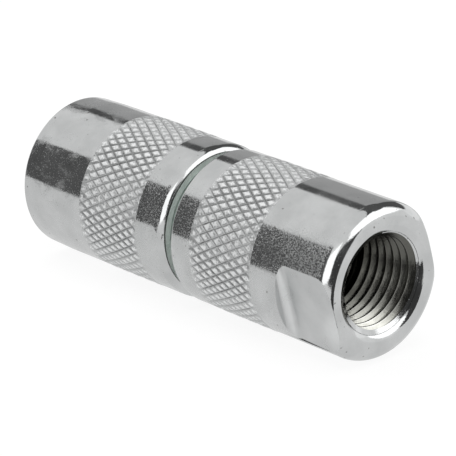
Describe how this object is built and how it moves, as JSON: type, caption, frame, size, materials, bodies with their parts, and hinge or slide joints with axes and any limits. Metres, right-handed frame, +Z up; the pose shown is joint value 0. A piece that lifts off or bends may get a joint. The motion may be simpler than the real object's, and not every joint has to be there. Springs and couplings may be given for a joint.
{
  "type": "grease coupler",
  "caption": "Knurled screw-together grease coupler with threaded inlet, wrench flats, check valve, sprung piston and collet jaws in its nose that grip a grease nipple.",
  "frame": {"origin": "on the axis, where the inlet thread starts at the foot of its countersink", "axes": "+X along the axis out of the inlet, so the nose with the jaws points to -X; +Z up, with the coupler lying on its side"},
  "size_m": [0.0435, 0.0156, 0.0156],
  "materials": {
    "zinc_plate": "bright zinc plate on turned steel",
    "hardened_steel": "hardened and ground steel",
    "spring_steel": "drawn spring wire",
    "nitrile": "moulded black rubber"
  },
  "bodies": {
    "inlet_body": {"inlet_body": "zinc_plate", "spring_plate": "zinc_plate", "valve_spring": "spring_steel", "main_spring": "spring_steel", "piston_o_ring": "nitrile"},
    "check_ball": {"check_ball": "hardened_steel"},
    "sleeve_o_ring": {"sleeve_o_ring": "nitrile"},
    "jaw_sleeve": {"jaw_sleeve": "zinc_plate"},
    "piston": {"piston": "zinc_plate", "nozzle_seal": "nitrile"},
    "jaw_1": {"jaw_1": "hardened_steel"},
    "jaw_2": {"jaw_2": "hardened_steel"},
    "jaw_3": {"jaw_3": "hardened_steel"},
    "jaw_4": {"jaw_4": "hardened_steel"}
  },
  "joints": [
    {"name": "sleeve_advance", "type": "slide", "parent": "inlet_body", "child": "sleeve_o_ring", "axis": [-1, 0, 0], "range_m": [-0.00125, 0.004], "deforming": ["main_spring"]},
    {"name": "sleeve_turn", "type": "hinge", "parent": "sleeve_o_ring", "child": "jaw_sleeve", "pos_m": [-0.025, 0, 0], "axis": [-1, 0, 0], "range_deg": [-450.5, 1440.5]},
    {"name": "piston_push", "type": "slide", "parent": "jaw_sleeve", "child": "piston", "axis": [1, 0, 0], "range_m": [0, 0.0024], "stiffness_N_per_m": 1500, "springref_m": -0.003, "deforming": ["main_spring"]},
    {"name": "jaw_1_slide", "type": "slide", "parent": "jaw_sleeve", "child": "jaw_1", "axis": [0.9781, 0, 0.2079], "range_m": [0, 0.00246]},
    {"name": "jaw_2_slide", "type": "slide", "parent": "jaw_sleeve", "child": "jaw_2", "axis": [0.9781, 0.2079, 0], "range_m": [0, 0.00246]},
    {"name": "jaw_3_slide", "type": "slide", "parent": "jaw_sleeve", "child": "jaw_3", "axis": [0.9781, 0, -0.2079], "range_m": [0, 0.00246]},
    {"name": "jaw_4_slide", "type": "slide", "parent": "jaw_sleeve", "child": "jaw_4", "axis": [0.9781, -0.2079, 0], "range_m": [0, 0.00246]},
    {"name": "check_ball_lift", "type": "slide", "parent": "inlet_body", "child": "check_ball", "axis": [-1, 0, 0], "range_m": [0, 0.0009], "stiffness_N_per_m": 150, "springref_m": -0.0008, "deforming": ["valve_spring"]}
  ],
  "couplings": [
    {"joint": "sleeve_turn", "follows": "sleeve_advance", "rad_per_m": 6283.2},
    {"joint": "jaw_1_slide", "follows": "piston_push", "ratio": 1.0223},
    {"joint": "jaw_2_slide", "follows": "piston_push", "ratio": 1.0223},
    {"joint": "jaw_3_slide", "follows": "piston_push", "ratio": 1.0223},
    {"joint": "jaw_4_slide", "follows": "piston_push", "ratio": 1.0223}
  ]
}
